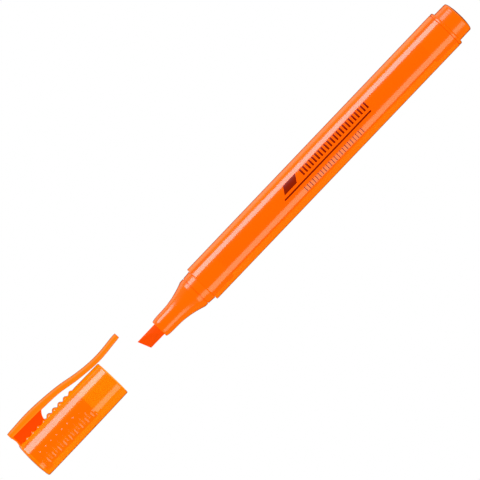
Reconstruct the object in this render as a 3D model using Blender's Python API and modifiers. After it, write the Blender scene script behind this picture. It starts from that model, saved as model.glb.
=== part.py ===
"""A slim stick highlighter, pulled out of its cap.

The pen lies along X with its chisel nib towards -X, and the cap lies in line in front of
the nib with its mouth towards it. The clip points along +Y, and the resting surface is z = 0.
Dimensions are in millimetres and become metres in the helpers. A distance along the pen is
measured from the tip of the nib, and a distance along the cap from its closed end.
"""

from math import atan2, cos, pi, radians, sin, sqrt

import bmesh
import bpy

MM = 0.001
SIDES = 48  # facets round every turned piece, all at the same angles
HALF_STEP = pi / SIDES  # turns a facet, not an edge, towards the resting surface
MERGE = 1e-6

# Nib
NIB_RADIUS = 2.1
NIB_BLANK_START, NIB_TAPER_END = -1.0, 2.0  # of the rod before the tip is cut to shape
NIB_TAPER = 0.13  # how much narrower it is at the blank's start
NIB_TAIL_RADIUS = 1.7
NIB_TAIL_START = 20.0
NIB_END = 28.0
NIB_SLANT = radians(21)  # of the cut end, from square
NIB_FLAT_SLOPE = radians(15)  # of each flat, from the pen's axis
NIB_EDGE = 1.2  # thickness of the chisel edge
NIB_PLAY = 0.12  # round the nib in its hole
CUTTER_REACH = 6.0  # of the blocks that cut the tip to shape

# Front section, which holds the nib and plugs the cap's mouth
NOSE_START, NOSE_MIDDLE = 7.0, 8.8
NOSE_TIP_RADIUS, NOSE_MIDDLE_RADIUS = 2.92, 3.08
NOSE_EDGE = 0.3
FLARE_START, FLARE_END = 11.7, 20.65
FLARE_SMALL, FLARE_LARGE = 3.165, 4.88
FLARE_POWER = 1.87  # of the concave curve between its two radii
FLARE_STEPS = 8
STEP_AT = 24.6  # where the barrel starts and the cap's mouth stops
SPIGOT_RADIUS = 4.75
SPIGOT_LENGTH = 8.0
SEAL_OUTLINE = ((22.5, 5.02), (22.3, 5.08), (21.95, 5.08), (21.75, 4.98), (20.95, 4.92))
SEAL_RADIUS = 5.22  # at the step, where it fits the cap's mouth
POCKET_RADIUS = 4.25  # holds the reservoir's end, in the front section and in the rear plug
POCKET_START = 22.0

# Barrel
BARREL_FRONT_RADIUS = 5.98
BARREL_REAR_RADIUS = 6.025
BARREL_BORE = 5.05
BARREL_END = 124.7
BARREL_EDGE = 0.2
FACE_GAP = 0.25  # between pieces that touch end to end

# Reservoir
RESERVOIR_RADIUS = 3.75
FILM_INNER, FILM_OUTER = 3.85, 4.0
RESERVOIR_START, RESERVOIR_END = 22.3, 119.0
TAIL_HOLE_RADIUS = 1.85
TAIL_HOLE_END = 28.5

# Rear plug
PEN_LENGTH = 130.8
PLUG_RADIUS = 5.2
PLUG_TAPER = 0.07
PLUG_COLLAR_END = 125.7  # of the ring that carries the barrel's outside on
PLUG_EDGE = 0.4
PLUG_DOME = ((0.0, 2.6), (-0.12, 3.6))  # distance from the pen's rear end, and radius
PLUG_FLOOR = 2.0

# Cap
CAP_LENGTH = 32.9
CAP_RADIUS = 6.1
CAP_TAPER = 0.2  # how much narrower the mouth is than the closed end
CAP_BORE_DEEP, CAP_BORE_MOUTH = 5.2, 5.32
CAP_FLOOR = 1.2
CAP_EDGE, CAP_EDGE_END = 0.75, 1.05  # radius of the closed end's edge, and where it has ended
CAP_MOUTH_EDGE = 0.15
CAP_DOME = ((0.08, 3.6), (0.0, 2.4))
PLAIN_STATIONS = (29.0, 26.0, 24.0)  # where the outline follows the taper, past the ribs
CAP_GAP = 12.26  # from the nib's tip to the cap's mouth
RIB_FIRST, RIB_PITCH, RIB_COUNT = 3.65, 2.23, 9
RIB_HEIGHT = 0.25  # above and below the smooth surface
PATCH_HALF_WIDTH = radians(27)
PATCH_EDGE = radians(18)  # over which a rib runs out at a patch's edge
PATCH_ROUND_FROM, PATCH_END = 16.0, 23.0

# Inner cap, which seals round the nose
INNER_CAP_BORE, INNER_CAP_RADIUS = 3.45, 4.3
INNER_CAP_FLANGE = 4.95
INNER_CAP_START, INNER_CAP_FLOOR, INNER_CAP_END = 1.5, 2.5, 22.5
INNER_CAP_FLANGE_END = 3.5
INNER_CAP_EDGE = 0.3

# Clip: (distance along the cap, height over the cap's axis)
CLIP_OUTSIDE = ((0.45, 10.5), (9.5, 10.92), (19.5, 10.03), (28.1, 8.41), (34.6, 7.92), (42.4, 8.46))
CLIP_INSIDE = ((0.45, 8.5), (12.3, 8.46), (19.0, 8.04), (25.8, 6.8), (33.8, 6.06), (42.4, 6.62))
CLIP_STEPS = 4  # straight pieces between two of these points
CLIP_WIDTH = 4.4
CLIP_EDGE = 0.3  # radius of its long edges
CLIP_SPLIT = 12.4  # where the sprung arm starts
HINGE_HEIGHT = 9.6
FIN_WIDTH = 2.4
FIN_OUTLINE = ((0.6, 5.65), (10.8, 5.65), (11.0, 7.0), (11.7, 8.7), (0.5, 8.7))

# The bounding box is centred on the origin and stands on z = 0.
CAP_START = -CAP_GAP - CAP_LENGTH
TIP_X = -(CAP_START + PEN_LENGTH) / 2
FACET_RADIUS = CAP_RADIUS * cos(HALF_STEP)

ORANGE = (1.0, 0.165, 0.0, 1.0)
CAP_ORANGE = (1.0, 0.21, 0.0, 1.0)
FELT_RED = (1.0, 0.07, 0.0, 1.0)
FIBRE_YELLOW = (1.0, 0.36, 0.03, 1.0)
FILM_CLEAR = (0.95, 0.6, 0.35, 1.0)


def clear_scene():
    for item in list(bpy.data.objects):
        bpy.data.objects.remove(item, do_unlink=True)


def new_collection(name):
    collection = bpy.data.collections.new(name)
    bpy.context.scene.collection.children.link(collection)
    return collection


def plastic(name, colour, roughness):
    material = bpy.data.materials.new(name)
    material.use_nodes = True
    shader = material.node_tree.nodes["Principled BSDF"]
    shader.inputs["Base Color"].default_value = colour
    shader.inputs["Roughness"].default_value = roughness
    return material


def empty_at(name, place, parent=None):
    empty = bpy.data.objects.new(name, None)
    empty.location = [value * MM for value in place]
    empty.parent = parent
    PARTS.objects.link(empty)
    return empty


def as_mesh(item):
    """The object as a plain mesh object with its modifiers applied and its seams welded."""
    bpy.context.view_layer.update()
    seen = item.evaluated_get(bpy.context.evaluated_depsgraph_get())
    mesh = bpy.data.meshes.new_from_object(seen)
    shape = bmesh.new()
    shape.from_mesh(mesh)
    bmesh.ops.remove_doubles(shape, verts=shape.verts, dist=MERGE)
    shape.to_mesh(mesh)
    shape.free()
    name, place = item.name, item.matrix_world.copy()
    bpy.data.objects.remove(item, do_unlink=True)
    solid = bpy.data.objects.new(name, mesh)
    PARTS.objects.link(solid)
    solid.matrix_world = place
    return solid


def turned(name, outline, closed):
    """A turned piece on the local X axis, from (distance, radius) points that run along its
    outside from the rear to the front, and then back along its bore."""
    mesh = bpy.data.meshes.new(name)
    points = [
        (radius * MM * cos(HALF_STEP), radius * MM * sin(HALF_STEP), distance * MM)
        for distance, radius in outline
    ]
    edges = [(i, i + 1) for i in range(len(points) - 1)]
    if closed:
        edges.append((len(points) - 1, 0))
    mesh.from_pydata(points, edges, [])
    item = bpy.data.objects.new(name, mesh)
    PARTS.objects.link(item)
    screw = item.modifiers.new("Turn", "SCREW")
    screw.steps = screw.render_steps = SIDES
    screw.use_merge_vertices = True
    screw.merge_threshold = MERGE
    screw.use_smooth_shade = True
    item.rotation_euler = (0, radians(90), 0)
    return as_mesh(item)


def solid_of(name, outline):
    """A turned piece without a hole through it: its outline is led to the axis at both ends.
    A cup's outline starts with its bore, floor to mouth."""
    return turned(name, [(outline[0][0], 0), *outline, (outline[-1][0], 0)], False)


def tube_of(name, outside, bore):
    """A turned tube from its outside, rear to front, and its bore, front to rear."""
    return turned(name, [*outside, *bore], True)


def extruded(name, outline, width, edge=0.0):
    """A flat outline in the local XY plane with the given width along Z."""
    curve = bpy.data.curves.new(name, "CURVE")
    curve.dimensions = "2D"
    curve.fill_mode = "BOTH"
    curve.extrude = (width / 2 - edge) * MM
    curve.bevel_depth = edge * MM
    curve.bevel_resolution = 1
    curve.offset = -edge * MM
    spline = curve.splines.new("POLY")
    spline.points.add(len(outline) - 1)
    for point, (x, y) in zip(spline.points, outline):
        point.co = (x * MM, y * MM, 0, 1)
    spline.use_cyclic_u = True
    item = bpy.data.objects.new(name, curve)
    PARTS.objects.link(item)
    return as_mesh(item)


def box(name, low, high):
    """A cutter box between two corners."""
    mesh = bpy.data.meshes.new(name)
    shape = bmesh.new()
    bmesh.ops.create_cube(shape, size=1)
    for vertex in shape.verts:
        vertex.co = [
            (low[axis] + (vertex.co[axis] + 0.5) * (high[axis] - low[axis])) * MM for axis in range(3)
        ]
    shape.to_mesh(mesh)
    shape.free()
    item = bpy.data.objects.new(name, mesh)
    as_cutter(item)
    return item


def as_cutter(item):
    for collection in list(item.users_collection):
        collection.objects.unlink(item)
    CUTTERS.objects.link(item)
    item.hide_render = True
    item.display_type = "WIRE"


def boolean(item, other, operation):
    cut = item.modifiers.new(other.name, "BOOLEAN")
    cut.object = other
    cut.operation = operation
    cut.solver = "EXACT"


def finish(item, parent, material):
    item.parent = parent
    item.data.materials.clear()
    item.data.materials.append(material)
    item.data.shade_smooth()
    item.data.set_sharp_from_angle(angle=radians(30))
    return item


def arc(centre, radius, start, end, steps):
    """Points of an arc in (distance, radius) terms; an angle of 0 points along +distance."""
    points = []
    for i in range(steps + 1):
        angle = radians(start + (end - start) * i / steps)
        points.append((centre[0] + radius * cos(angle), centre[1] + radius * sin(angle)))
    return points


def smooth_through(points, steps):
    """A Catmull-Rom curve through the points."""
    ends = [points[0], *points, points[-1]]
    curve = []
    for before, start, end, after in zip(ends, ends[1:], ends[2:], ends[3:]):
        for i in range(steps):
            t = i / steps
            curve.append(
                tuple(
                    0.5
                    * (
                        2 * b
                        + (c - a) * t
                        + (2 * a - 5 * b + 4 * c - d) * t * t
                        + (3 * b - a - 3 * c + d) * t**3
                    )
                    for a, b, c, d in zip(before, start, end, after)
                )
            )
    return [*curve, points[-1]]


def make_nib(parent):
    nib = solid_of(
        "nib",
        [
            (NIB_END, NIB_TAIL_RADIUS),
            (NIB_TAIL_START, NIB_TAIL_RADIUS),
            (NIB_TAIL_START, NIB_RADIUS),
            (NIB_TAPER_END, NIB_RADIUS),
            (NIB_BLANK_START, NIB_RADIUS - NIB_TAPER),
        ],
    )
    # The slanted cut leaves the long point on the clip's side.
    reach = CUTTER_REACH
    slant = box("nib_slant_cutter", (-reach, -reach, -reach), (0, reach, reach))
    slant.location = (0, (NIB_RADIUS - NIB_TAPER) * MM, 0)
    slant.rotation_euler = (0, 0, NIB_SLANT)
    slant.parent = parent
    boolean(nib, slant, "DIFFERENCE")
    for name, side in (("nib_upper_cutter", 1), ("nib_lower_cutter", -1)):
        low, high = sorted((0, reach * side))
        flat = box(name, (-reach, -reach, low), (2 * reach, reach, high))
        flat.location = (0, 0, side * NIB_EDGE / 2 * MM)
        flat.rotation_euler = (0, -side * NIB_FLAT_SLOPE, 0)
        flat.parent = parent
        boolean(nib, flat, "DIFFERENCE")
    return nib


def make_front_section():
    spigot_end = STEP_AT + SPIGOT_LENGTH
    shoulder = STEP_AT - FACE_GAP
    outside = [
        (spigot_end, SPIGOT_RADIUS),
        (shoulder, SPIGOT_RADIUS),
        (shoulder, SEAL_RADIUS),
        *SEAL_OUTLINE,
    ]
    for i in range(FLARE_STEPS + 1):
        t = 1 - i / FLARE_STEPS
        radius = FLARE_SMALL + (FLARE_LARGE - FLARE_SMALL) * t**FLARE_POWER
        outside.append((FLARE_START + (FLARE_END - FLARE_START) * t, radius))
    outside += [(NOSE_MIDDLE, NOSE_MIDDLE_RADIUS), (NOSE_START + NOSE_EDGE, NOSE_TIP_RADIUS)]
    outside += arc((NOSE_START + NOSE_EDGE, NOSE_TIP_RADIUS - NOSE_EDGE), NOSE_EDGE, 120, 180, 2)
    bore = [
        (NOSE_START, NIB_RADIUS + NIB_PLAY),
        (NIB_TAIL_START, NIB_RADIUS + NIB_PLAY),
        (POCKET_START, POCKET_RADIUS),
        (spigot_end, POCKET_RADIUS),
    ]
    return tube_of("front_section", outside, bore)


def make_barrel():
    outside = [
        (BARREL_END, BARREL_REAR_RADIUS),
        (STEP_AT + BARREL_EDGE, BARREL_FRONT_RADIUS),
        (STEP_AT, BARREL_FRONT_RADIUS - BARREL_EDGE),
    ]
    bore = [(STEP_AT, BARREL_BORE), (BARREL_END, BARREL_BORE)]
    return tube_of("barrel", outside, bore)


def make_reservoir():
    core = solid_of(
        "reservoir_core",
        [
            (RESERVOIR_END, RESERVOIR_RADIUS),
            (RESERVOIR_START, RESERVOIR_RADIUS),
            (RESERVOIR_START, TAIL_HOLE_RADIUS),
            (TAIL_HOLE_END, TAIL_HOLE_RADIUS),
        ],
    )
    film = tube_of(
        "reservoir_sleeve",
        [(RESERVOIR_END, FILM_OUTER), (RESERVOIR_START, FILM_OUTER)],
        [(RESERVOIR_START, FILM_INNER), (RESERVOIR_END, FILM_INNER)],
    )
    return core, film


def make_rear_plug():
    collar_start = BARREL_END + FACE_GAP
    rim = (PEN_LENGTH - 2 * PLUG_EDGE, PLUG_RADIUS - PLUG_TAPER - PLUG_EDGE)
    outside = [(PEN_LENGTH + distance, radius) for distance, radius in PLUG_DOME]
    outside += arc(rim, PLUG_EDGE, 20, 90, 3)
    outside += [
        (PLUG_COLLAR_END, PLUG_RADIUS),
        (PLUG_COLLAR_END, BARREL_REAR_RADIUS - PLUG_EDGE),
        (PLUG_COLLAR_END - PLUG_EDGE, BARREL_REAR_RADIUS),
        (collar_start, BARREL_REAR_RADIUS),
        (collar_start, SPIGOT_RADIUS),
        (collar_start - SPIGOT_LENGTH, SPIGOT_RADIUS),
        (collar_start - SPIGOT_LENGTH, POCKET_RADIUS),
        (PEN_LENGTH - PLUG_FLOOR, POCKET_RADIUS),
    ]
    return solid_of("rear_plug", outside)


def cap_radius(u):
    return CAP_RADIUS - CAP_TAPER * (u / CAP_LENGTH) ** 3


def rib_offset(u, angle):
    """How far the ribbed grip stands over the smooth surface; angle is from the clip's side."""
    wave = abs((u - RIB_FIRST) / RIB_PITCH) % 1
    if u < RIB_FIRST - RIB_PITCH / 2 or u > PATCH_END:
        return 0.0
    past = max(0.0, u - PATCH_ROUND_FROM) / (PATCH_END - PATCH_ROUND_FROM)
    half_width = PATCH_HALF_WIDTH * sqrt(max(0.0, 1 - past**2))
    off_centre = min(abs((angle - centre + pi) % (2 * pi) - pi) for centre in (0, 2 * pi / 3, -2 * pi / 3))
    share = min(1.0, max(0.0, (half_width - off_centre) / PATCH_EDGE))
    return RIB_HEIGHT * share**2 * (3 - 2 * share) * cos(2 * pi * wave)


def make_cap_shell(parent):
    stations = [RIB_FIRST + RIB_PITCH * (i / 2 - 0.5) for i in range(2 * RIB_COUNT + 1)]
    outside = [(CAP_LENGTH, cap_radius(CAP_LENGTH) - CAP_MOUTH_EDGE)]
    outside += [(u, cap_radius(u)) for u in (CAP_LENGTH - CAP_MOUTH_EDGE, *PLAIN_STATIONS)]
    outside += [(u, cap_radius(u)) for u in reversed(stations)]
    outside += arc((CAP_EDGE_END, CAP_RADIUS - CAP_EDGE), CAP_EDGE, 90, 165, 3)
    outside += CAP_DOME
    bore = [(CAP_FLOOR, CAP_BORE_DEEP), (CAP_LENGTH, CAP_BORE_MOUTH)]
    shell = solid_of("cap_shell", [*bore, *outside])
    raise_ribs(shell.data)
    clip_root = clip_between("clip_root", -1, CLIP_SPLIT - FACE_GAP)
    fin = extruded("fin", FIN_OUTLINE, FIN_WIDTH)
    for item in (clip_root, fin):
        as_cutter(item)
        item.parent = parent
        boolean(shell, item, "UNION")
    return shell


def raise_ribs(mesh):
    """Moves the outer skin's points in the three ribbed patches."""
    for vertex in mesh.vertices:
        u = vertex.co.z / MM
        radius = sqrt(vertex.co.x**2 + vertex.co.y**2) / MM
        if radius < (CAP_BORE_MOUTH + CAP_RADIUS) / 2 or u < RIB_FIRST - RIB_PITCH:
            continue
        angle = bearing(vertex.co.x, vertex.co.y)
        grown = (radius + rib_offset(u, angle)) / radius
        vertex.co.x *= grown
        vertex.co.y *= grown


def bearing(x, y):
    """Angle from local +Y, where the clip is, in the plane across the turned axis."""
    return atan2(x, y)


def clip_between(name, low, high):
    """The stretch of the clip between two distances along the cap."""
    outline = smooth_through(CLIP_OUTSIDE, CLIP_STEPS) + smooth_through(CLIP_INSIDE, CLIP_STEPS)[::-1]
    clip = extruded(name, outline, CLIP_WIDTH, CLIP_EDGE)
    slab = box(name + "_slab", (low, 0, -CLIP_WIDTH), (high, 2 * CAP_RADIUS, CLIP_WIDTH))
    boolean(clip, slab, "INTERSECT")
    clip = as_mesh(clip)
    bpy.data.objects.remove(slab, do_unlink=True)
    return clip


def make_inner_cap():
    outside = [
        (INNER_CAP_END, INNER_CAP_RADIUS - INNER_CAP_EDGE),
        (INNER_CAP_END - INNER_CAP_EDGE, INNER_CAP_RADIUS),
        (INNER_CAP_FLANGE_END, INNER_CAP_RADIUS),
        (INNER_CAP_FLANGE_END, INNER_CAP_FLANGE),
        (INNER_CAP_START, INNER_CAP_FLANGE),
    ]
    bore = [(INNER_CAP_FLOOR, INNER_CAP_BORE), (INNER_CAP_END, INNER_CAP_BORE)]
    return solid_of("inner_cap", [*bore, *outside])


def make_highlighter():
    axis_y = (FACET_RADIUS - max(height for _, height in smooth_through(CLIP_OUTSIDE, CLIP_STEPS))) / 2
    pen = empty_at("pen_tip", (TIP_X, axis_y, FACET_RADIUS))
    cap = empty_at("cap_axis", (TIP_X + CAP_START, axis_y, FACET_RADIUS))
    hinge = empty_at("clip_hinge", (CLIP_SPLIT, HINGE_HEIGHT, 0), cap)

    orange = plastic("pen_plastic", ORANGE, 0.12)
    core, film = make_reservoir()
    finish(make_barrel(), pen, orange)
    finish(make_front_section(), pen, orange)
    finish(make_rear_plug(), pen, orange)
    finish(make_nib(pen), pen, plastic("nib_felt", FELT_RED, 0.8))
    finish(core, pen, plastic("reservoir_fibre", FIBRE_YELLOW, 0.9))
    finish(film, pen, plastic("reservoir_film", FILM_CLEAR, 0.3))

    cap_orange = plastic("cap_plastic", CAP_ORANGE, 0.12)
    finish(make_cap_shell(cap), cap, cap_orange)
    finish(make_inner_cap(), cap, cap_orange)
    clip_arm = finish(clip_between("clip_arm", CLIP_SPLIT, CAP_LENGTH + CLIP_SPLIT), hinge, cap_orange)
    clip_arm.location = (-CLIP_SPLIT * MM, -HINGE_HEIGHT * MM, 0)


clear_scene()
PARTS = new_collection("highlighter")
CUTTERS = new_collection("cutters")
make_highlighter()
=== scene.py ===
"""Looks of the highlighter: fine surfaces, translucent plastic, felt nib, soft studio light.

Lengths are in millimetres and become metres in the mesh helpers. A distance x along the pen
is measured from the tip of the nib, a distance u along the cap from its closed end, and a
radius r or a height h from the axis that pen and cap share. A corner of an outline is its
distance, its radius and the size of the fillet there.
"""

from math import cos, pi, radians, sin, sqrt, tan

import bmesh
import bpy
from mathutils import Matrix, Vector


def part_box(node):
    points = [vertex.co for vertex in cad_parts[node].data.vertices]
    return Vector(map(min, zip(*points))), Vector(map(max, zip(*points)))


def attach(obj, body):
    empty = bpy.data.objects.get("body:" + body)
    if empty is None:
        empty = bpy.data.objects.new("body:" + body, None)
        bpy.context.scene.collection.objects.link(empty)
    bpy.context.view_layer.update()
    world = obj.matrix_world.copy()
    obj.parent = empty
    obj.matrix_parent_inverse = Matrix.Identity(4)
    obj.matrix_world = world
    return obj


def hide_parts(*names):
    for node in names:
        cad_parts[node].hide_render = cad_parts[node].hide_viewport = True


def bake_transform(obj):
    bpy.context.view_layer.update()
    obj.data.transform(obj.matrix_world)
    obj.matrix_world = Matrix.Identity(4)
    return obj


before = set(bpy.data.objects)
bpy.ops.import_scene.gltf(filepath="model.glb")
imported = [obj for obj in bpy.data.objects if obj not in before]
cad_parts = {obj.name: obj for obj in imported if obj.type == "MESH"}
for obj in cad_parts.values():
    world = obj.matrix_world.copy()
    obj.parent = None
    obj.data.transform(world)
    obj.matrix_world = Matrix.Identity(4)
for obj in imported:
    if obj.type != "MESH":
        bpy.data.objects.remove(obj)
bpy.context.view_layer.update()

MM = 0.001
SIDES = 144  # round every turned piece
FILLET_STEPS = 5
FILLET_SHARE = 0.49  # of an outline's edge, the most that the fillet at one end takes
MERGE = 1e-7  # metres

# The shared axis, the two starting points and the main lengths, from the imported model
BARREL_LOW, BARREL_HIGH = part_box("barrel")
AXIS_Y = (BARREL_LOW.y + BARREL_HIGH.y) / 2
AXIS_Z = (BARREL_LOW.z + BARREL_HIGH.z) / 2
TIP_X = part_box("nib")[0].x
CAP_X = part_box("cap_shell")[0].x
PEN_LENGTH = (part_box("rear_plug")[1].x - TIP_X) / MM
STEP_AT = (BARREL_LOW.x - TIP_X) / MM
BARREL_END = (BARREL_HIGH.x - TIP_X) / MM
CAP_LENGTH = (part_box("cap_shell")[1].x - CAP_X) / MM
CLIP_END = (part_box("clip_arm")[1].x - CAP_X) / MM

# Nib
NIB_RADIUS, NIB_TAPER, NIB_SIDES = 2.1, 0.13, 96
NIB_BLANK_START, NIB_END = -2.0, 28.0  # of the rod that the tip is cut from
NIB_SLANT, NIB_FLAT_SLOPE = radians(21), radians(15)
NIB_EDGE = 1.2  # thickness between the flats, at the tip
NIB_WEAR, NIB_WEAR_ANGLE = 0.14, radians(12)
NIB_PLAY = 0.03  # between the nib and the hole that it sits in

# Front section
NOSE_CORNERS = ((7.0, 2.82, 0.25), (7.95, 3.03, 0.3), (8.8, 3.09, 1.0))
NOSE_RADIUS, FLARE_AT = 3.165, 11.7
SEAL_AT, SEAL_FRONT, SEAL_REAR = 20.65, 4.98, 5.22
FLARE_POWER, FLARE_STEPS = 1.8, 16
SEAL_SHOULDER = (SEAL_AT + 0.15, SEAL_FRONT + 0.02, 0.4)
SEAL_GROOVE = ((21.85, 5.03, 0), (21.9, 4.75, 0), (22.05, 4.75, 0))
SEAL_BAND = ((22.1, 5.08, 0.05), (22.5, 5.06, 0.1))
SPIGOT_RADIUS, SPIGOT_LENGTH = 4.75, 8.0
POCKET_RADIUS, POCKET_START, NIB_HOLE_END = 4.25, 22.3, 20.3

# Barrel and rear plug
BARREL_FRONT, BARREL_REAR, BARREL_BORE = 5.98, 6.025, 5.05
TAPER_STARTS, TAPER_STOPS = 2.0, 3.0  # this far from the barrel's two ends
TAPER_STEP = 0.003  # rise of the radius before the taper
SEAM = 0.06  # visible gap between pieces that touch
COLLAR_END, PLUG_RADIUS, PLUG_TAPER, PLUG_FLOOR = 125.7, 5.2, 0.07, 2.0
PLUG_DOME = ((0.3, 4.2), (0.0, 2.4))  # distance from the pen's rear end, and radius
PLUG_EDGE_AT, PLUG_EDGE = 0.62, 0.45

# Reservoir
RESERVOIR_RADIUS, RESERVOIR_START, RESERVOIR_END = 3.8, 22.3, 119.0
FILM_INNER, FILM_OUTER, FILM_INSET = 3.86, 3.98, 0.05

# Print; a mark is its start and end along the pen, its lower and upper height, and its slant
INK_OVER, INK_UNDER, INK_STEPS = 0.02, 0.06, 8  # over and under the barrel's surface
RULE = (58.1, 93.5, -0.82, -0.32, 0)
BLOCK = (59.1, 64.1, 0.45, 2.75, 1.6)
BAR_COUNT = 22
BOLD_FIRST, BOLD_PITCH, BOLD_WIDTH, BOLD_HEIGHTS = 67.0, 1.25, 0.6, (0.45, 2.6)
FINE_FIRST, FINE_PITCH, FINE_WIDTH, FINE_HEIGHTS = 64.5, 1.1, 0.35, (-3.5, -1.8)

# Cap; a bearing is an angle round the axis, and 0 is under the clip
CAP_RADIUS, CAP_TAPER, CAP_TAPER_POWER = 6.1, 0.2, 3
CAP_BORE_DEEP, CAP_BORE_MOUTH, CAP_FLOOR = 5.2, 5.32, 1.2
CAP_SKIN = CAP_BORE_MOUTH + 0.3  # radius over which an outline point is on the outside
CAP_END_CORNERS = ((0.32, CAP_RADIUS, 1.0), (0.05, 3.6, 1.5), (0, 2.2, 0), (0, 0, 0))
RIB_FIRST, RIB_PITCH, RIB_HEIGHT = 3.65, 2.23, 0.32
RIB_STEPS, FINE_PITCHES = 20, 13  # outline points per pitch, and pitches that have them
PATCHES = ((0, radians(28)), (radians(125), radians(42)), (radians(-133.5), radians(33.5)))
RIDGE_EDGE, GROOVE_EDGE = radians(6), radians(24)  # over which they run out at a patch's edge
GROOVE_PINCH = 0.35  # how strongly the grooves are narrowed against the ridges
PATCH_ROUND_FROM, PATCH_END = 16.0, 23.0
FLAT_BEARING, FLAT_HALF_WIDTH = radians(56), radians(30)  # of the flatter strips between patches
FLAT_DEPTH, FLAT_FADE = 0.15, 0.6  # at the closed end, and the share of it lost by the mouth

# Inner cap
INNER_START, INNER_FLOOR, INNER_FLANGE_END, INNER_END = 1.5, 2.5, 3.5, 22.5
INNER_BORE, INNER_RADIUS, INNER_FLANGE = 3.45, 4.3, 4.95

# Clip, fin and web
CLIP_OUTSIDE = (
    (0.45, 10.72),
    (9.5, 10.92),
    (19.5, 10.03),
    (28.1, 8.41),
    (34.6, 7.92),
    (42.4, 8.46),
)
CLIP_INSIDE = (
    (0.45, 8.72),
    (12.3, 8.46),
    (19.0, 8.04),
    (25.8, 6.8),
    (33.8, 6.06),
    (42.4, 6.62),
)
CLIP_WIDTH, CLIP_STEPS = 4.4, 90
CLIP_OUTER_EDGE, CLIP_INNER_EDGE, CLIP_EDGE_STEPS = 1.1, 0.7, 8
CLIP_END_SOFTNESS = (0.35, 0.12)  # of its last sections, from the end inwards
SOFT_ASIDE, SOFT_INWARD = 0.4, 0.3  # shares of the softness taken off width and thickness
FIN_WIDTH, WEB_WIDTH, PLATE_BEVEL = 2.4, 3.6, 0.1
FIN_START, FIN_FOOT, FIN_TOP, FIN_FOOT_END = 1.0, 5.5, 8.95, 10.9
FIN_HOLLOW_LOW, FIN_HOLLOW_RISE, FIN_HOLLOW_STEPS = 5.7, 2.9, 8
FIN_HOLLOW_REACH, FIN_HOLLOW_POWER = 1.5, 2.2
WEB_OUTLINE = ((0.5, 5.5), (1.2, 5.5), (1.2, 8.95), (0.55, 8.95), (0.8, 7.2))


# ---------------------------------------------------------------- meshes


def add(name, shape, sharp=30):
    """A new smooth-shaded object from a bmesh, whose edges over the angle stay sharp."""
    mesh = bpy.data.meshes.new(name)
    bmesh.ops.remove_doubles(shape, verts=shape.verts, dist=MERGE)
    bmesh.ops.recalc_face_normals(shape, faces=shape.faces)
    shape.to_mesh(mesh)
    shape.free()
    mesh.shade_smooth()
    mesh.set_sharp_from_angle(angle=radians(sharp))
    item = bpy.data.objects.new(name, mesh)
    bpy.context.scene.collection.objects.link(item)
    return item


def rounded(corners):
    """Outline points from corners, with each fillet as a curve."""
    points = []
    for i, (x, r, fillet) in enumerate(corners):
        here = Vector((x, r))
        if not fillet or i in (0, len(corners) - 1):
            points.append((x, r))
            continue
        before = Vector(corners[i - 1][:2]) - here
        after = Vector(corners[i + 1][:2]) - here
        reach = min(fillet, before.length * FILLET_SHARE, after.length * FILLET_SHARE)
        start, end = here + before.normalized() * reach, here + after.normalized() * reach
        for step in range(FILLET_STEPS + 1):
            t = step / FILLET_STEPS
            point = start * (1 - t) ** 2 + here * 2 * t * (1 - t) + end * t**2
            points.append((point.x, point.y))
    return points


def ring_grid(shape, rings, close_ends=False):
    """Faces between successive closed rings of points."""
    made = [[shape.verts.new(point) for point in ring] for ring in rings]
    pairs = list(zip(made, made[1:]))
    if close_ends:
        pairs.append((made[-1], made[0]))
    for one, two in pairs:
        count = len(one)
        for i in range(count):
            shape.faces.new((one[i], one[(i + 1) % count], two[(i + 1) % count], two[i]))
    return made


def bar(name, rings, sharp=30):
    """A solid through rings of points, closed at both ends."""
    shape = bmesh.new()
    made = ring_grid(shape, rings)
    for ring in (made[0], made[-1]):
        shape.faces.new(ring)
    return add(name, shape, sharp)


def lathe(name, outline, start, closed=True, radius_at=None):
    """Turns (distance, radius) points about the shared axis; start is where distance 0 is in X.
    An outline that isn't closed starts and ends on the axis. radius_at may change each point's
    radius, from its distance, radius and bearing."""
    shape = bmesh.new()
    rings = []
    for x, r in outline:
        ring = []
        for i in range(SIDES):
            bearing = 2 * pi * i / SIDES
            reach = (radius_at(x, r, bearing) if radius_at else r) * MM
            aside, up = reach * cos(bearing), reach * sin(bearing)
            ring.append((start + x * MM, AXIS_Y + aside, AXIS_Z + up))
        rings.append(ring)
    ring_grid(shape, rings, closed)
    return add(name, shape)


def smooth_at(points, x):
    """Height at x of a Catmull-Rom curve through (x, height) points."""
    ends = [points[0], *points, points[-1]]
    for before, start, end, after in zip(ends, ends[1:], ends[2:], ends[3:]):
        if x <= end[0] or end is points[-1]:
            t = (x - start[0]) / (end[0] - start[0])
            a, b, c, d = before[1], start[1], end[1], after[1]
            square, cube = 2 * a - 5 * b + 4 * c - d, 3 * b - a - 3 * c + d
            return 0.5 * (2 * b + (c - a) * t + square * t * t + cube * t**3)


def make_barrel():
    corners = (
        (STEP_AT, BARREL_BORE, 0),
        (STEP_AT, BARREL_FRONT, 0.3),
        (STEP_AT + TAPER_STARTS, BARREL_FRONT + TAPER_STEP, 0),
        (BARREL_END - TAPER_STOPS, BARREL_REAR, 0),
        (BARREL_END, BARREL_REAR, 0.15),
        (BARREL_END, BARREL_BORE, 0.1),
        (STEP_AT, BARREL_BORE, 0),
    )
    return lathe("barrel_tube", rounded(corners)[:-1], TIP_X)


def flare(x):
    t = (x - FLARE_AT) / (SEAL_AT - FLARE_AT)
    return NOSE_RADIUS + (SEAL_FRONT - NOSE_RADIUS) * t**FLARE_POWER


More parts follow.
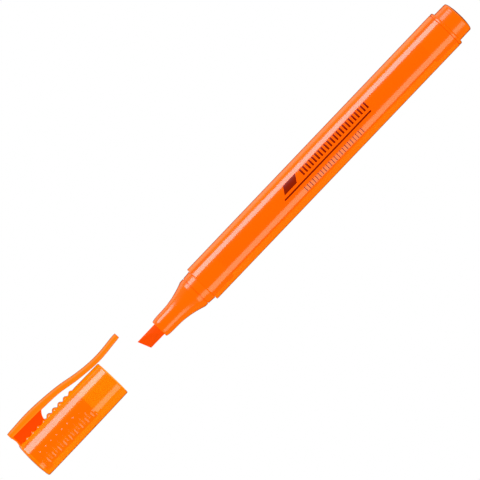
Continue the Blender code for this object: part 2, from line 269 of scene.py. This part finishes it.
def make_front_section():
    shoulder, end = STEP_AT - SEAM, STEP_AT + SPIGOT_LENGTH
    corners = [(NOSE_CORNERS[0][0], NIB_RADIUS + NIB_PLAY, 0), *NOSE_CORNERS]
    for i in range(FLARE_STEPS + 1):
        x = FLARE_AT + (SEAL_AT - FLARE_AT) * i / FLARE_STEPS
        corners.append((x, flare(x), 0))
    corners += [
        SEAL_SHOULDER,
        *SEAL_GROOVE,
        *SEAL_BAND,
        (shoulder, SEAL_REAR, 0.2),
        (shoulder, SPIGOT_RADIUS, 0),
        (end, SPIGOT_RADIUS, 0.3),
        (end, POCKET_RADIUS, 0),
        (POCKET_START, POCKET_RADIUS, 0),
        (NIB_HOLE_END, NIB_RADIUS + NIB_PLAY, 0),
    ]
    return lathe("nose_section", rounded(corners), TIP_X)


def make_rear_plug():
    start = BARREL_END + SEAM
    inside = start - SPIGOT_LENGTH
    corners = [
        (inside, POCKET_RADIUS, 0),
        (inside, SPIGOT_RADIUS, 0.3),
        (start, SPIGOT_RADIUS, 0),
        (start, BARREL_REAR, 0.15),
        (COLLAR_END, BARREL_REAR, 0.8),
        (COLLAR_END, PLUG_RADIUS, 0.12),
        (PEN_LENGTH - PLUG_EDGE_AT, PLUG_RADIUS - PLUG_TAPER, PLUG_EDGE),
        *((PEN_LENGTH - back, r, 1) for back, r in PLUG_DOME),
        (PEN_LENGTH, 0, 0),
    ]
    floor = PEN_LENGTH - PLUG_FLOOR
    return lathe("rear_end_plug", [*rounded(corners), (floor, 0), (floor, POCKET_RADIUS)], TIP_X)


def rib_offset(u, bearing):
    """How far the ribbed grip stands over the smooth surface."""
    if u < RIB_FIRST - RIB_PITCH or u > PATCH_END:
        return 0.0
    past = max(0.0, u - PATCH_ROUND_FROM) / (PATCH_END - PATCH_ROUND_FROM)
    narrowing = sqrt(max(0.0, 1 - past**2))
    inside = max(
        half_width * narrowing - abs((bearing - centre + pi) % (2 * pi) - pi)
        for centre, half_width in PATCHES
    )
    start = min(1.0, (u - RIB_FIRST + RIB_PITCH) / (RIB_PITCH / 2))
    phase = 2 * pi * (u - RIB_FIRST) / RIB_PITCH
    wave = cos(phase - GROOVE_PINCH * sin(phase))
    share = min(1.0, max(0.0, inside / (RIDGE_EDGE if wave > 0 else GROOVE_EDGE)))
    return RIB_HEIGHT * share**2 * (3 - 2 * share) * start * wave


def flat_offset(u, bearing):
    """How far a flatter strip lies under the round surface."""
    across = (abs((bearing + pi) % (2 * pi) - pi) - FLAT_BEARING) / FLAT_HALF_WIDTH
    if abs(across) >= 1:
        return 0.0
    return FLAT_DEPTH * (1 - FLAT_FADE * u / CAP_LENGTH) * (1 + cos(pi * across)) / 2


def make_cap():
    def cap_radius(u):
        return CAP_RADIUS - CAP_TAPER * (u / CAP_LENGTH) ** CAP_TAPER_POWER

    def radius_at(u, r, bearing):
        if r < CAP_SKIN:
            return r
        return r + rib_offset(u, bearing) - flat_offset(u, bearing)

    corners = [
        (CAP_FLOOR, 0, 0),
        (CAP_FLOOR, CAP_BORE_DEEP, 0.5),
        (CAP_LENGTH, CAP_BORE_MOUTH, 0.12),
        (CAP_LENGTH, cap_radius(CAP_LENGTH), 0.3),
    ]
    for i in range(FINE_PITCHES * RIB_STEPS, 0, -1):
        u = RIB_FIRST + RIB_PITCH * (i / RIB_STEPS - 1)
        corners.append((u, cap_radius(u), 0))
    return lathe("cap_body", rounded([*corners, *CAP_END_CORNERS]), CAP_X, radius_at=radius_at)


def plate(name, outline, width):
    """A flat piece between cap and clip, from (distance along the cap, height) points."""
    rings = [
        [(CAP_X + u * MM, AXIS_Y + h * MM, AXIS_Z + side * width / 2 * MM) for u, h in outline]
        for side in (-1, 1)
    ]
    item = bar(name, rings)
    bevel = item.modifiers.new("Soft edges", "BEVEL")
    bevel.width = PLATE_BEVEL * MM
    bevel.segments = 2
    return item


def make_fin():
    """The thin wall between cap and clip; its end towards the gap is hollowed."""
    outline = [(FIN_START, FIN_FOOT), (FIN_FOOT_END, FIN_FOOT)]
    for i in range(FIN_HOLLOW_STEPS + 1):
        t = i / FIN_HOLLOW_STEPS
        reach = FIN_HOLLOW_REACH * t**FIN_HOLLOW_POWER
        outline.append((FIN_FOOT_END + reach, FIN_HOLLOW_LOW + FIN_HOLLOW_RISE * t))
    return plate("cap_fin", [*outline, (FIN_START, FIN_TOP)], FIN_WIDTH)


def make_end_web():
    """The wider wall that joins cap and clip at the closed end."""
    return plate("cap_end_web", WEB_OUTLINE, WEB_WIDTH)


def make_clip():
    """One strip from the cap's closed end to the clip's tip."""
    rings = []
    start = CLIP_OUTSIDE[0][0]
    outer, inner = CLIP_OUTER_EDGE, CLIP_INNER_EDGE
    for i in range(CLIP_STEPS + 1):
        u = start + (CLIP_END - start) * i / CLIP_STEPS
        top, bottom = smooth_at(CLIP_OUTSIDE, u), smooth_at(CLIP_INSIDE, u)
        from_end = min(i, CLIP_STEPS - i)
        soft = CLIP_END_SOFTNESS[from_end] if from_end < len(CLIP_END_SOFTNESS) else 0.0
        half = CLIP_WIDTH / 2 - soft * SOFT_ASIDE
        low, high = bottom + soft * SOFT_INWARD, top - soft * SOFT_INWARD
        section = []
        for centre_z, centre_h, corner, first in (
            (half - outer, high - outer, outer, 0),
            (-half + outer, high - outer, outer, 90),
            (-half + inner, low + inner, inner, 180),
            (half - inner, low + inner, inner, 270),
        ):
            for step in range(CLIP_EDGE_STEPS + 1):
                angle = radians(first + 90 * step / CLIP_EDGE_STEPS)
                section.append((centre_z + corner * cos(angle), centre_h + corner * sin(angle)))
        rings.append([(CAP_X + u * MM, AXIS_Y + h * MM, AXIS_Z + z * MM) for z, h in section])
    return bar("pocket_clip", rings, sharp=40)


def make_inner_cap():
    corners = (
        (INNER_FLOOR, 0, 0),
        (INNER_FLOOR, INNER_BORE, 0.6),
        (INNER_END, INNER_BORE, 0.2),
        (INNER_END, INNER_RADIUS, 0.3),
        (INNER_FLANGE_END, INNER_RADIUS, 0.2),
        (INNER_FLANGE_END, INNER_FLANGE, 0.1),
        (INNER_START, INNER_FLANGE, 0.1),
        (INNER_START, 0, 0),
    )
    return lathe("inner_sleeve", rounded(corners), CAP_X)


def make_nib():
    """A felt rod, flattened on two sides towards a slanted cut end."""
    shape = bmesh.new()
    bmesh.ops.create_cone(
        shape,
        cap_ends=True,
        segments=NIB_SIDES,
        radius1=NIB_RADIUS * MM,
        radius2=NIB_RADIUS * MM,
        depth=(NIB_END - NIB_BLANK_START) * MM,
    )
    for vertex in shape.verts:
        along = vertex.co.z + (NIB_BLANK_START + NIB_END) / 2 * MM
        narrow = 1 - NIB_TAPER / NIB_RADIUS if along < 0 else 1
        aside, up = vertex.co.x * narrow, vertex.co.y * narrow
        vertex.co = Vector((TIP_X + along, AXIS_Y + aside, AXIS_Z + up))
    slant = Vector((-cos(NIB_SLANT), -sin(NIB_SLANT), 0))
    cuts = [(Vector((0, NIB_RADIUS - NIB_TAPER, 0)), slant)]
    for side in (1, -1):
        normal = Vector((-sin(NIB_FLAT_SLOPE), 0, side * cos(NIB_FLAT_SLOPE)))
        cuts.append((Vector((0, 0, side * NIB_EDGE / 2)), normal))
    for point, normal in cuts:
        place = Vector((TIP_X, AXIS_Y, AXIS_Z)) + point * MM
        everything = shape.verts[:] + shape.edges[:] + shape.faces[:]
        cut = bmesh.ops.bisect_plane(
            shape, geom=everything, plane_co=place, plane_no=normal, clear_outer=True, dist=1e-8
        )
        edges = [e for e in cut["geom_cut"] if isinstance(e, bmesh.types.BMEdge)]
        bmesh.ops.contextual_create(shape, geom=edges)
    nib = add("chisel_nib", shape)
    bevel = nib.modifiers.new("Worn edges", "BEVEL")
    bevel.width = NIB_WEAR * MM
    bevel.segments = 3
    bevel.limit_method = "ANGLE"
    bevel.angle_limit = NIB_WEAR_ANGLE
    return nib


def barrel_radius(x):
    start, end = STEP_AT + TAPER_STARTS, BARREL_END - TAPER_STOPS
    return BARREL_FRONT + (BARREL_REAR - BARREL_FRONT) * (x - start) / (end - start)


def printed(name, marks):
    """Marks of ink on the barrel, seen from above. Heights grow towards the clip's side, and a
    slant shifts a mark's upper edge along the pen."""
    shape = bmesh.new()
    for start, end, low, high, slant in marks:
        rings = []
        for x in (start, end):
            ring = []
            for thickness, way in ((INK_OVER, 1), (-INK_UNDER, -1)):
                for step in range(INK_STEPS + 1)[::way]:
                    height = low + (high - low) * step / INK_STEPS
                    along = x + slant * step / INK_STEPS
                    up = sqrt((barrel_radius(along) + thickness) ** 2 - height**2)
                    ring.append((TIP_X + along * MM, AXIS_Y + height * MM, AXIS_Z + up * MM))
            rings.append(ring)
        for ring in ring_grid(shape, rings):
            shape.faces.new(ring)
    return add(name, shape)


def bars(first, pitch, width, heights):
    """Equal upright bars side by side, for printed."""
    return [(first + pitch * i, first + width + pitch * i, *heights, 0) for i in range(BAR_COUNT)]


def make_print():
    """Plain generic marks: a rule with a block and bars over it, and thin bars under it."""
    bold = [RULE, BLOCK, *bars(BOLD_FIRST, BOLD_PITCH, BOLD_WIDTH, BOLD_HEIGHTS)]
    fine = bars(FINE_FIRST, FINE_PITCH, FINE_WIDTH, FINE_HEIGHTS)
    return printed("bold_marks", bold), printed("fine_marks", fine)


def make_reservoir():
    corners = (
        (RESERVOIR_START, 0, 0),
        (RESERVOIR_START, RESERVOIR_RADIUS, 0.3),
        (RESERVOIR_END, RESERVOIR_RADIUS, 0.3),
        (RESERVOIR_END, 0, 0),
    )
    core = lathe("ink_reservoir", rounded(corners), TIP_X, closed=False)
    start, end = RESERVOIR_START + FILM_INSET, RESERVOIR_END - FILM_INSET
    outline = [(start, FILM_INNER), (start, FILM_OUTER), (end, FILM_OUTER), (end, FILM_INNER)]
    return core, lathe("reservoir_film", outline, TIP_X)


# ---------------------------------------------------------------- materials

# Sockets of a colour Mix node, which has several with the same name
MIX_FACTOR, MIX_A, MIX_B, MIX_RESULT = 0, 6, 7, 2
NOISE_LOW, NOISE_HIGH = 0.3, 0.7  # between which nearly all of the noise is
PLASTIC_IOR = 1.59
LEAST_WEAR, MOST_WEAR = 0.9, 1.2  # of a plastic's roughness
BORE_MARGIN = 0.1  # over a bore's radius, up to where a face is on the inside
WALL_FACING = 0.9  # a face that looks further along the axis than this is an end
OUTLINE_SHADE_TINT = (0.55, 0.22, 0.06)  # painted outline shade: tint of the see-through share where the surface slants away from view


def new_material(name):
    material = bpy.data.materials.new(name)
    material.use_nodes = True
    nodes = material.node_tree.nodes
    return material, nodes, material.node_tree.links, nodes["Principled BSDF"]


def noise(nodes, links, scale, detail, stretch=(1, 1, 1)):
    """Noise in object coordinates, with the scale in cycles per metre."""
    place = nodes.new("ShaderNodeTexCoord")
    mapping = nodes.new("ShaderNodeMapping")
    mapping.inputs["Scale"].default_value = stretch
    pattern = nodes.new("ShaderNodeTexNoise")
    pattern.inputs["Scale"].default_value = scale
    pattern.inputs["Detail"].default_value = detail
    links.new(place.outputs["Object"], mapping.inputs["Vector"])
    links.new(mapping.outputs["Vector"], pattern.inputs["Vector"])
    return pattern.outputs["Fac"]


def ramp(nodes, links, value, start, end, low=0.0, high=1.0):
    """What goes from low to high while the value goes from start to end."""
    ranged = nodes.new("ShaderNodeMapRange")
    ranged.inputs["From Min"].default_value = start
    ranged.inputs["From Max"].default_value = end
    ranged.inputs["To Min"].default_value = low
    ranged.inputs["To Max"].default_value = high
    links.new(value, ranged.inputs["Value"])
    return ranged.outputs["Result"]


def two_colours(nodes, links, factor, one, two):
    """What goes from colour one, which may be a node's output, to two as the factor rises."""
    mix = nodes.new("ShaderNodeMix")
    mix.data_type = "RGBA"
    if isinstance(one, bpy.types.NodeSocket):
        links.new(one, mix.inputs[MIX_A])
    else:
        mix.inputs[MIX_A].default_value = (*one, 1)
    mix.inputs[MIX_B].default_value = (*two, 1)
    links.new(factor, mix.inputs[MIX_FACTOR])
    return mix.outputs[MIX_RESULT]


def colour_by_noise(nodes, links, shader, pattern, light, deep):
    flow = ramp(nodes, links, pattern, NOISE_LOW, NOISE_HIGH)
    links.new(two_colours(nodes, links, flow, deep, light), shader.inputs["Base Color"])


def set_painted_glow(material, shader, colour):
    """Painted glow: the colour is given off as light of its own at full strength, whatever the
    lamps. It stands in for the dye's fluorescence and evens out the shading. It is left out of
    light sampling, as too weak to light other things.
    """
    shader.inputs["Emission Color"].default_value = (*colour, 1)
    shader.inputs["Emission Strength"].default_value = 1.0
    material.cycles.emission_sampling = "NONE"


def plastic(
    name,
    light,
    deep,
    painted_glow,
    clear=0.0,
    tint=(1, 0.75, 0.08),
    roughness=0.14,
    gloss=1.0,
    edge=(0.55, 0.85),
):
    """Glossy fluorescent plastic with a painted glow. clear is the share of light that passes
    straight through it, tinted. Towards the outline that share rises to all of the light and its
    tint darkens, a painted outline shade set by the angle of view; edge says how slanting the
    surface is where that shade starts and where it is darkest."""
    material, nodes, links, shader = new_material(name)
    colour_by_noise(nodes, links, shader, noise(nodes, links, 90, 3), light, deep)
    wear = noise(nodes, links, 700, 4, (0.3, 1, 1))
    least, most = roughness * LEAST_WEAR, roughness * MOST_WEAR
    rough = ramp(nodes, links, wear, NOISE_LOW, NOISE_HIGH, least, most)
    links.new(rough, shader.inputs["Roughness"])
    shader.inputs["IOR"].default_value = PLASTIC_IOR
    shader.inputs["Specular IOR Level"].default_value = gloss
    set_painted_glow(material, shader, painted_glow)
    # Painted outline shade: by the angle of view, the see-through share rises to all of the light
    # at the outline, and its tint darkens there.
    if clear:
        glass = nodes.new("ShaderNodeBsdfTransparent")
        slant = nodes.new("ShaderNodeLayerWeight")
        slant.inputs["Blend"].default_value = 0.5
        outline_shade = ramp(nodes, links, slant.outputs["Facing"], *edge)
        links.new(two_colours(nodes, links, outline_shade, tint, OUTLINE_SHADE_TINT), glass.inputs["Color"])
        mix = nodes.new("ShaderNodeMixShader")
        links.new(ramp(nodes, links, slant.outputs["Facing"], *edge, low=clear), mix.inputs["Fac"])
        links.new(shader.outputs["BSDF"], mix.inputs[1])
        links.new(glass.outputs["BSDF"], mix.inputs[2])
        links.new(mix.outputs["Shader"], nodes["Material Output"].inputs["Surface"])
    return material


def clear_wall():
    """For the inner side of a see-through wall, whose whole tint is on its outer side."""
    material, nodes, links, _ = new_material("inner_wall")
    glass = nodes.new("ShaderNodeBsdfTransparent")
    links.new(glass.outputs["BSDF"], nodes["Material Output"].inputs["Surface"])
    return material


def felt(name, light, deep, painted_glow):
    """Fibres soaked in fluorescent ink, with a painted glow of their colour."""
    material, nodes, links, shader = new_material(name)
    fibres = noise(nodes, links, 2600, 5, (0.25, 1, 1))
    colour_by_noise(nodes, links, shader, fibres, light, deep)
    shader.inputs["Roughness"].default_value = 0.75
    shader.inputs["Specular IOR Level"].default_value = 0.15
    set_painted_glow(material, shader, painted_glow)
    relief = nodes.new("ShaderNodeBump")
    relief.inputs["Strength"].default_value = 0.8
    relief.inputs["Distance"].default_value = 0.05 * MM
    links.new(fibres, relief.inputs["Height"])
    links.new(relief.outputs["Normal"], shader.inputs["Normal"])
    return material


def ink(name, light, deep, painted_glow):
    """Printed ink, a little uneven, with a faint painted glow."""
    material, nodes, links, shader = new_material(name)
    colour_by_noise(nodes, links, shader, noise(nodes, links, 5000, 3), light, deep)
    shader.inputs["Roughness"].default_value = 0.3
    set_painted_glow(material, shader, painted_glow)
    return material


def dress(item, material, inside=None, bore=0.0):
    """Gives a piece its material. The wall of a bore of this radius gets the inside one."""
    item.data.materials.clear()
    item.data.materials.append(material)
    if inside:
        item.data.materials.append(inside)
        for face in item.data.polygons:
            reach = Vector((face.center.y - AXIS_Y, face.center.z - AXIS_Z)).length
            if reach < (bore + BORE_MARGIN) * MM and abs(face.normal.x) < WALL_FACING:
                face.material_index = 1


# ---------------------------------------------------------------- stage

LAMP_DISTANCE = 0.6  # metres
FLOOR_SIZE = 3.0  # metres, from its middle to a side
FLOOR_DROP = 0.02
FLOOR_BOUNCE_COLOURS = ((0.42, 0.4, 0.15), (0.4, 0.38, 0.14))  # light, deep; a warm cast painted in for light that the pen bounces onto the floor
FLOOR_WHITE = 1.0  # brightness of the floor to the camera
FLOOR_PAINTED_GLOW = 0.8  # strength of a painted glow strip on the floor that lights the object, close by on the clip's side
GLOW_RISE, GLOW_FALL = (-2.0, 6.0), (18.0, 50.0)  # where it grows and fades, from the pen's axis
DARK, DIM, BACKDROP = (0.01, 0.01, 0.01), (0.12, 0.12, 0.12), (0.9, 0.9, 0.9)
DIM_TOP = 0.5  # height, as the sine of the elevation, over which the room is dark
PEN_SLOPE = radians(46.33)  # in the picture
VIEW_WIDTH, CAMERA_HEIGHT = 0.1368, 1.6  # metres
CAMERA_ALONG, CAMERA_ASIDE = 41.2, 0.93  # from the nib's tip, and from the axis towards the clip
SENSOR = 36


def softbox(name, angle, width, radiance, colour, length):
    """A long rectangular lamp parallel to the pen, at an angle from straight up (+ is the clip's
    side) and angular width in degrees, with the brightness that a mirror would show."""
    lamp = bpy.data.lights.new(name, "AREA")
    lamp.shape = "RECTANGLE"
    lamp.size = length
    lamp.size_y = 2 * LAMP_DISTANCE * tan(radians(width / 2))
    lamp.energy = radiance * pi * lamp.size * lamp.size_y
    lamp.color = colour
    item = bpy.data.objects.new(name, lamp)
    aside, up = LAMP_DISTANCE * sin(radians(angle)), LAMP_DISTANCE * cos(radians(angle))
    item.location = (0, AXIS_Y + aside, AXIS_Z + up)
    item.rotation_euler = (radians(-angle), 0, 0)
    bpy.context.scene.collection.objects.link(item)


def coordinate(nodes, links, space, axis):
    place = nodes.new("ShaderNodeTexCoord")
    split = nodes.new("ShaderNodeSeparateXYZ")
    links.new(place.outputs[space], split.inputs["Vector"])
    return split.outputs[axis]


def make_floor():
    """Plain white to the camera. To the object it shows a painted warm cast and a painted glow
    strip that lights it.
    """
    shape = bmesh.new()
    bmesh.ops.create_grid(shape, x_segments=2, y_segments=2, size=FLOOR_SIZE)
    floor = add("floor", shape)
    floor.location.z = -FLOOR_DROP * MM
    material, nodes, links, shader = new_material("pale_floor")
    colour_by_noise(nodes, links, shader, noise(nodes, links, 3, 2), *FLOOR_BOUNCE_COLOURS)
    shader.inputs["Roughness"].default_value = 0.9
    shader.inputs["Specular IOR Level"].default_value = 0.0
    # Painted glow strip: emission that rises near the pen on the clip's side and fades further
    # out.
    aside = coordinate(nodes, links, "Object", "Y")
    rise, fall = ([AXIS_Y + side * MM for side in sides] for sides in (GLOW_RISE, GLOW_FALL))
    painted_glow = nodes.new("ShaderNodeMath")
    painted_glow.operation = "MULTIPLY"
    links.new(ramp(nodes, links, aside, *rise, high=FLOOR_PAINTED_GLOW), painted_glow.inputs[0])
    links.new(ramp(nodes, links, aside, *fall, low=1.0, high=0.0), painted_glow.inputs[1])
    shader.inputs["Emission Color"].default_value = (1, 1, 1, 1)
    links.new(painted_glow.outputs["Value"], shader.inputs["Emission Strength"])
    seen = nodes.new("ShaderNodeLightPath")
    white = nodes.new("ShaderNodeEmission")
    white.inputs["Strength"].default_value = FLOOR_WHITE
    mix = nodes.new("ShaderNodeMixShader")
    links.new(seen.outputs["Is Camera Ray"], mix.inputs["Fac"])
    links.new(shader.outputs["BSDF"], mix.inputs[1])
    links.new(white.outputs["Emission"], mix.inputs[2])
    links.new(mix.outputs["Shader"], nodes["Material Output"].inputs["Surface"])
    material.cycles.emission_sampling = "NONE"
    dress(floor, material)


def make_world():
    """A dark studio, brighter low down on the clip's side, behind a pale backdrop."""
    world = bpy.data.worlds.new("studio")
    world.use_nodes = True
    nodes, links = world.node_tree.nodes, world.node_tree.links
    sideways = ramp(nodes, links, coordinate(nodes, links, "Generated", "Y"), 0.0, 1.0)
    upward = ramp(nodes, links, coordinate(nodes, links, "Generated", "Z"), 0.0, DIM_TOP)
    room = two_colours(nodes, links, upward, two_colours(nodes, links, sideways, DARK, DIM), DARK)
    seen = nodes.new("ShaderNodeLightPath")
    shown = two_colours(nodes, links, seen.outputs["Is Camera Ray"], room, BACKDROP)
    links.new(shown, nodes["Background"].inputs["Color"])
    bpy.context.scene.world = world


def make_camera():
    """Straight down through a long lens, with the pen rising to the upper right."""
    camera = bpy.data.cameras.new("camera")
    camera.sensor_width = SENSOR
    camera.lens = SENSOR * CAMERA_HEIGHT / VIEW_WIDTH
    item = bpy.data.objects.new("camera", camera)
    along, aside = TIP_X + CAMERA_ALONG * MM, AXIS_Y + CAMERA_ASIDE * MM
    item.location = (along, aside, AXIS_Z + CAMERA_HEIGHT)
    item.rotation_euler = (0, 0, -PEN_SLOPE)
    bpy.context.scene.collection.objects.link(item)
    bpy.context.scene.camera = item
    bpy.context.scene.view_settings.view_transform = "Standard"


# ---------------------------------------------------------------- the object

# The third colour of each set is a painted glow, given off whatever the lamps.
PEN_COLOURS = ((0.6, 0.075, 0.0), (0.58, 0.068, 0.0), (1.0, 0.14, 0.0))  # light, deep, glow
CAP_COLOURS = ((0.6, 0.1, 0.0), (0.58, 0.085, 0.0), (1.0, 0.18, 0.0))
CLIP_COLOURS = ((0.6, 0.12, 0.0), (0.58, 0.1, 0.0), (1.0, 0.2, 0.0))
# Deeper for thicker plastic, on the fin and the inner cap. On the fin between cap and clip it is
# also painted shade of that recess.
THICK_AND_SHADED_COLOURS = ((0.7, 0.06, 0.0), (0.65, 0.05, 0.0), (0.9, 0.06, 0.0))
FILM_COLOURS = ((1.0, 0.3, 0.05), (1.0, 0.25, 0.03), (0.0, 0.0, 0.0))
NIB_COLOURS = ((0.9, 0.07, 0.0), (0.8, 0.05, 0.0), (0.7, 0.06, 0.0))
FIBRE_COLOURS = ((1.0, 0.15, 0.0), (0.95, 0.12, 0.0), (0.9, 0.15, 0.0))
BOLD_COLOURS = ((0.5, 0.03, 0.0), (0.42, 0.02, 0.0), (0.12, 0.005, 0.0))
FINE_COLOURS = ((0.6, 0.15, 0.12), (0.55, 0.13, 0.1), (0.15, 0.02, 0.01))

pen_plastic = plastic("pen_plastic", *PEN_COLOURS, clear=0.25)
section_plastic = plastic(
    "section_plastic", *PEN_COLOURS, clear=0.08, roughness=0.2, gloss=0.75, edge=(0.45, 0.8)
)
cap_plastic = plastic("cap_plastic", *CAP_COLOURS, clear=0.3)
clip_plastic = plastic(
    "clip_plastic", *CLIP_COLOURS, clear=0.1, roughness=0.45, gloss=0.4, edge=(0.3, 0.6)
)
# Thick plastic's deeper tone, and on the fin also painted shade between cap and clip.
thick_and_shaded_plastic = plastic("thick_and_shaded_plastic", *THICK_AND_SHADED_COLOURS)
nib_felt = felt("nib_felt", *NIB_COLOURS)
fibre = felt("reservoir_fibre", *FIBRE_COLOURS)
film_clear = plastic("reservoir_film", *FILM_COLOURS, clear=0.9, tint=(1, 0.9, 0.7))
wall_clear = clear_wall()
SEEN_THROUGH = {"barrel": BARREL_BORE, "cap_shell": CAP_BORE_MOUTH}  # radius of the clear wall

for piece, material, body, node, slot in (
    (make_barrel(), pen_plastic, "pen", "barrel", "body_plastic"),
    (make_front_section(), section_plastic, "pen", "front_section", "body_plastic"),
    (make_rear_plug(), section_plastic, "pen", "rear_plug", "body_plastic"),
    (make_nib(), nib_felt, "pen", "nib", "nib_felt"),
    (make_cap(), cap_plastic, "cap", "cap_shell", "cap_plastic"),
    (make_inner_cap(), thick_and_shaded_plastic, "cap", "inner_cap", "cap_plastic"),
):
    bore = SEEN_THROUGH.get(node)
    dress(piece, material, wall_clear if bore else None, bore)
    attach(piece, body)
    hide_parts(node)

bold_marks, fine_marks = make_print()
for marks, material in (
    (bold_marks, ink("bold_ink", *BOLD_COLOURS)),
    (fine_marks, ink("fine_ink", *FINE_COLOURS)),
):
    dress(marks, material)
    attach(marks, "pen")
    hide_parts("barrel")

core, film = make_reservoir()
for piece, material, node, slot in (
    (core, fibre, "reservoir_core", "reservoir_fibre"),
    (film, film_clear, "reservoir_sleeve", "reservoir_film"),
):
    dress(piece, material)
    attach(piece, "pen")
    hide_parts(node)

for piece, material in ((make_fin(), thick_and_shaded_plastic), (make_end_web(), cap_plastic)):
    dress(piece, material)
    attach(piece, "cap")
    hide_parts("cap_shell")

clip = make_clip()
dress(clip, clip_plastic)
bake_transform(clip)
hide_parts("clip_arm")

make_floor()
make_world()
softbox("key_softbox", angle=68.5, width=29, radiance=4.4, colour=(1, 0.93, 1.0), length=0.38)
softbox("fill_softbox", angle=-55.5, width=31, radiance=1.7, colour=(1, 1, 0.68), length=0.62)
make_camera()
